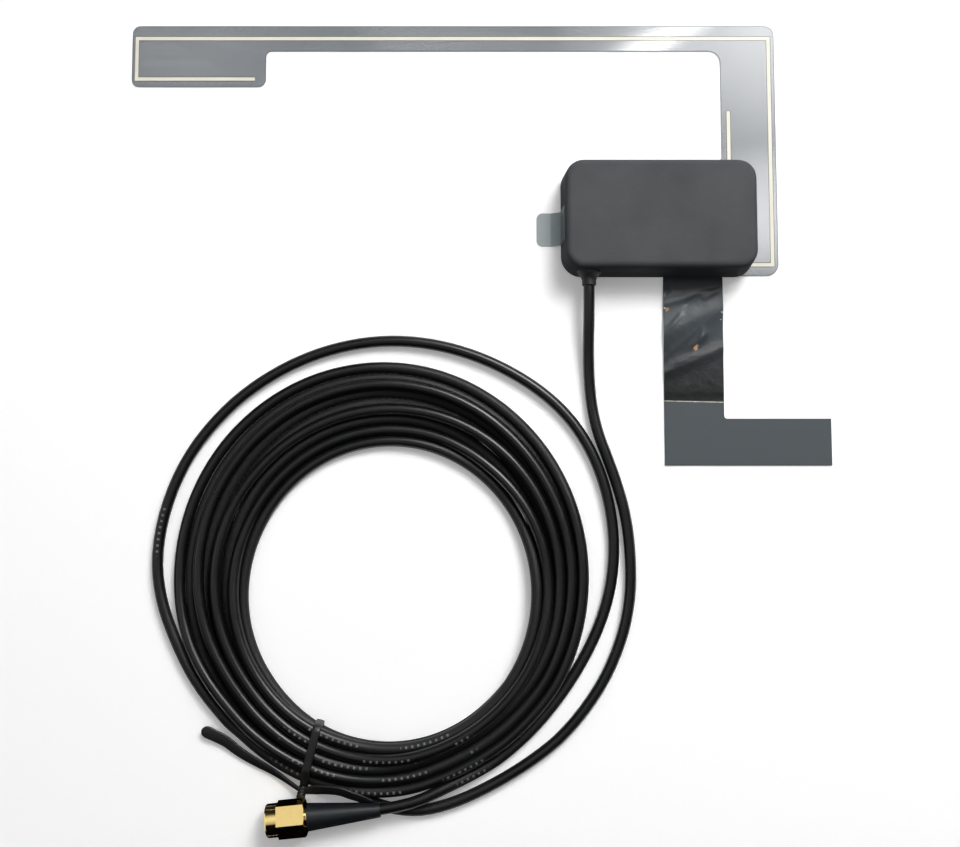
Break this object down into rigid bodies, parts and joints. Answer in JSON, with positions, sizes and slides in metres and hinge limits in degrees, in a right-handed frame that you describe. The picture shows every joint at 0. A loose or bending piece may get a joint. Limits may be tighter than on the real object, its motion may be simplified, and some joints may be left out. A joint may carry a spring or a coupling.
{
  "type": "car dab film antenna",
  "caption": "Adhesive windscreen film antenna with printed traces, an amplifier case, a ground foil and a coiled coaxial cable that ends in a screw-on plug.",
  "frame": {"origin": "on the glass side of the film, under the middle of the amplifier case", "axes": "+X along the antenna strip towards the leg, +Y up the windscreen, +Z away from the glass"},
  "size_m": [0.177, 0.2024, 0.0104],
  "materials": {
    "clear_film": "clear, glossy polyester film with a grey tint",
    "printed_conductor": "cream printed conductor with dark edges",
    "case_plastic": "black plastic with a fine spark-eroded grain",
    "foam_adhesive": "black foam tape",
    "liner_film": "clear pull-tab film",
    "board_laminate": "green solder mask on glass-epoxy laminate",
    "chip_epoxy": "black moulding compound",
    "chip_ceramic": "tan fired ceramic",
    "spring_bronze": "bright spring bronze",
    "gland_rubber": "black moulded rubber",
    "tinned_metal": "tinned copper",
    "core_plastic": "white cable insulation",
    "lacquered_foil": "copper foil with black lacquer, creased",
    "liner_paper": "white siliconised paper",
    "cable_jacket": "black satin cable jacket",
    "tie_plastic": "black plastic-covered wire tie",
    "gold_plate": "gold plate on turned brass",
    "gasket_rubber": "red silicone rubber",
    "shrink_sleeve": "black heat-shrunk sleeve"
  },
  "bodies": {
    "antenna": {"antenna_film": "clear_film", "long_trace": "printed_conductor", "short_trace": "printed_conductor", "amplifier_cover": "case_plastic", "amplifier_base": "case_plastic", "adhesive_pad": "foam_adhesive", "clear_tab": "liner_film", "circuit_board": "board_laminate", "amplifier_chip": "chip_epoxy", "band_filter": "chip_ceramic", "chip_capacitors": "chip_ceramic", "chip_inductors": "chip_epoxy", "long_trace_spring": "spring_bronze", "short_trace_spring": "spring_bronze", "ground_spring": "spring_bronze", "cable_grommet": "gland_rubber", "cable_clip": "tinned_metal", "cable_braid": "tinned_metal", "cable_core": "core_plastic", "core_wire": "tinned_metal", "ground_foil": "lacquered_foil", "foot_liner": "liner_paper", "cable_lead": "cable_jacket", "cable_coil": "cable_jacket", "cable_tail": "cable_jacket", "twist_tie": "tie_plastic", "connector_body": "gold_plate", "dielectric": "core_plastic", "centre_pin": "gold_plate", "snap_ring": "spring_bronze", "crimp_ferrule": "gold_plate", "heat_shrink": "shrink_sleeve"},
    "coupling_nut": {"coupling_nut": "gold_plate", "sealing_gasket": "gasket_rubber"}
  },
  "joints": [
    {"name": "coupling_nut_spin", "type": "hinge", "parent": "antenna", "child": "coupling_nut", "pos_m": [-0.0956, -0.14695, 0.0047], "axis": [-0.9954, -0.0958, 0], "continuous": true}
  ]
}
